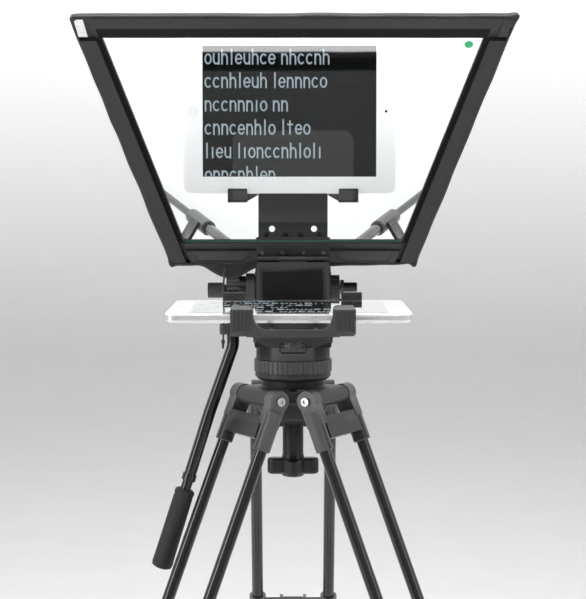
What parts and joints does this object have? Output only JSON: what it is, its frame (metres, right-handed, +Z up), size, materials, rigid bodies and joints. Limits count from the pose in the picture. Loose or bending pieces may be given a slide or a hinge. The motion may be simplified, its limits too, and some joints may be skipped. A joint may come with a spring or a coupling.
{
  "type": "teleprompter",
  "caption": "Tablet teleprompter: mirror glass in a black frame at 45 degrees with a fabric hood, spring tablet holder on a stepped bracket, fluid head with pan handle, and twin-tube tripod.",
  "frame": {"origin": "on the floor under the pan axis, at the centre of the footprint", "axes": "+Z up, -Y towards the reader of the prompter, +X to the reader's right as they face it"},
  "size_m": [0.6478, 0.7408, 1.1831],
  "materials": {
    "casting": "matte",
    "knob": "satin",
    "steel": "satin",
    "leg_casting": "matte",
    "tube": "satin",
    "rubber": "matte",
    "black_metal": "matte",
    "frame_metal": "satin",
    "jaw": "matte",
    "glass": "mirror coated",
    "hood_fabric": "woven",
    "cord": "woven",
    "tablet_shell": "satin",
    "tablet_front": "gloss",
    "handle_metal": "satin"
  },
  "bodies": {
    "tripod": {"crown": "casting", "hinge_bolts": "steel", "half_ball": "casting", "pan_base": "casting"},
    "bowl_clamp": {"bowl_knob": "knob"},
    "pan_drag": {"pan_ring": "knob"},
    "head": {"pan_yoke": "casting"},
    "tilt_lock": {"tilt_knob": "knob"},
    "tilt_drag": {"drag_knob": "knob"},
    "rig": {"tilt_body": "casting", "camera_plate": "black_metal", "drop_panel": "black_metal", "shelf": "black_metal", "bracket_screws": "steel", "hinge_lower": "black_metal", "clamp_body": "black_metal", "rear_fork": "jaw", "tablet": "tablet_shell", "tablet_front": "tablet_front", "holder_screw": "steel"},
    "home": {"home_button": "tablet_front"},
    "camera_clamp": {"camera_screw": "knob"},
    "tablet_fork": {"front_fork": "jaw", "slide_rods": "steel"},
    "bail": {"holder_bail": "steel"},
    "handle": {"handle_arm": "handle_metal"},
    "handle_lock": {"handle_knob": "knob"},
    "handle_lower": {"handle_tube": "tube", "handle_grip": "rubber"},
    "glass_unit": {"glass": "glass", "top_bar": "frame_metal", "bottom_bar": "frame_metal", "left_bar": "frame_metal", "right_bar": "frame_metal", "hinge_upper": "black_metal", "hinge_screws": "steel", "hood": "hood_fabric", "drawcord": "cord", "cord_lock": "knob"},
    "leg_1": {"leg_1_yoke": "leg_casting", "leg_1_upper_tubes": "tube", "leg_1_lock": "leg_casting"},
    "leg_1_flip": {"leg_1_lever": "knob"},
    "leg_1_lower": {"leg_1_lower_tubes": "tube", "leg_1_shoe": "leg_casting", "leg_1_foot": "rubber"},
    "leg_2": {"leg_2_yoke": "leg_casting", "leg_2_upper_tubes": "tube", "leg_2_lock": "leg_casting"},
    "leg_2_flip": {"leg_2_lever": "knob"},
    "leg_2_lower": {"leg_2_lower_tubes": "tube", "leg_2_shoe": "leg_casting", "leg_2_foot": "rubber"},
    "leg_3": {"leg_3_yoke": "leg_casting", "leg_3_upper_tubes": "tube", "leg_3_lock": "leg_casting"},
    "leg_3_flip": {"leg_3_lever": "knob"},
    "leg_3_lower": {"leg_3_lower_tubes": "tube", "leg_3_shoe": "leg_casting", "leg_3_foot": "rubber"}
  },
  "joints": [
    {"name": "bowl_knob_turn", "type": "hinge", "parent": "tripod", "child": "bowl_clamp", "pos_m": [0, 0, 0.699], "axis": [0, 0, 1], "continuous": true},
    {"name": "leg_1_spread", "type": "hinge", "parent": "tripod", "child": "leg_1", "pos_m": [-0.03984, -0.023, 0.759], "axis": [0.5, -0.866, 0], "range_deg": [0, 22]},
    {"name": "leg_1_flip_turn", "type": "hinge", "parent": "leg_1", "child": "leg_1_flip", "pos_m": [-0.15963, -0.09216, 0.46767], "axis": [-0.5, 0.866, 0], "range_deg": [0, 100]},
    {"name": "leg_1_slide", "type": "slide", "parent": "leg_1", "child": "leg_1_lower", "axis": [-0.3272, -0.1889, -0.9259], "range_m": [-0.26, 0]},
    {"name": "leg_2_spread", "type": "hinge", "parent": "tripod", "child": "leg_2", "pos_m": [0.03984, -0.023, 0.759], "axis": [0.5, 0.866, 0], "range_deg": [0, 22]},
    {"name": "leg_2_flip_turn", "type": "hinge", "parent": "leg_2", "child": "leg_2_flip", "pos_m": [0.15963, -0.09216, 0.46767], "axis": [-0.5, -0.866, 0], "range_deg": [0, 100]},
    {"name": "leg_2_slide", "type": "slide", "parent": "leg_2", "child": "leg_2_lower", "axis": [0.3272, -0.1889, -0.9259], "range_m": [-0.26, 0]},
    {"name": "leg_3_spread", "type": "hinge", "parent": "tripod", "child": "leg_3", "pos_m": [0, 0.046, 0.759], "axis": [-1, 0, 0], "range_deg": [0, 22]},
    {"name": "leg_3_flip_turn", "type": "hinge", "parent": "leg_3", "child": "leg_3_flip", "pos_m": [0, 0.18433, 0.46767], "axis": [1, 0, 0], "range_deg": [0, 100]},
    {"name": "leg_3_slide", "type": "slide", "parent": "leg_3", "child": "leg_3_lower", "axis": [0, 0.3778, -0.9259], "range_m": [-0.26, 0]},
    {"name": "pan_ring_turn", "type": "hinge", "parent": "tripod", "child": "pan_drag", "pos_m": [0, 0, 0.795], "axis": [0, 0, 1], "continuous": true},
    {"name": "pan", "type": "hinge", "parent": "tripod", "child": "head", "pos_m": [0, 0, 0.809], "axis": [0, 0, 1], "continuous": true},
    {"name": "tilt_knob_turn", "type": "hinge", "parent": "head", "child": "tilt_lock", "pos_m": [-0.06, -0.028, 0.895], "axis": [1, 0, 0], "continuous": true},
    {"name": "drag_knob_turn", "type": "hinge", "parent": "head", "child": "tilt_drag", "pos_m": [0.06, -0.02, 0.8875], "axis": [1, 0, 0], "continuous": true},
    {"name": "tilt", "type": "hinge", "parent": "head", "child": "rig", "pos_m": [0, 0, 0.8825], "axis": [1, 0, 0], "range_deg": [-25, 25]},
    {"name": "home_press", "type": "slide", "parent": "rig", "child": "home", "axis": [0, 0, -1], "range_m": [0, 0.0006], "stiffness_N_per_m": 400, "springref_m": -0.0003},
    {"name": "camera_slide", "type": "slide", "parent": "rig", "child": "camera_clamp", "axis": [0, 1, 0], "range_m": [-0.024, 0.024]},
    {"name": "fork_slide", "type": "slide", "parent": "rig", "child": "tablet_fork", "axis": [0, -1, 0], "range_m": [0, 0.035], "stiffness_N_per_m": 200, "springref_m": -0.02},
    {"name": "bail_swing", "type": "hinge", "parent": "rig", "child": "bail", "pos_m": [0, -0.29, 0.8474], "axis": [1, 0, 0], "range_deg": [-50, 50]},
    {"name": "handle_set", "type": "hinge", "parent": "rig", "child": "handle", "pos_m": [-0.0706, 0, 0.8825], "axis": [1, 0, 0], "range_deg": [-15, 95]},
    {"name": "handle_knob_turn", "type": "hinge", "parent": "handle", "child": "handle_lock", "pos_m": [-0.09, 0, 0.8825], "axis": [1, 0, 0], "continuous": true},
    {"name": "handle_slide", "type": "slide", "parent": "handle", "child": "handle_lower", "axis": [-0.2992, 0, -0.9542], "range_m": [-0.008, 0.045]},
    {"name": "frame_fold", "type": "hinge", "parent": "rig", "child": "glass_unit", "pos_m": [0, -0.11413, 0.92534], "axis": [1, 0, 0], "range_deg": [0, 40]}
  ]
}
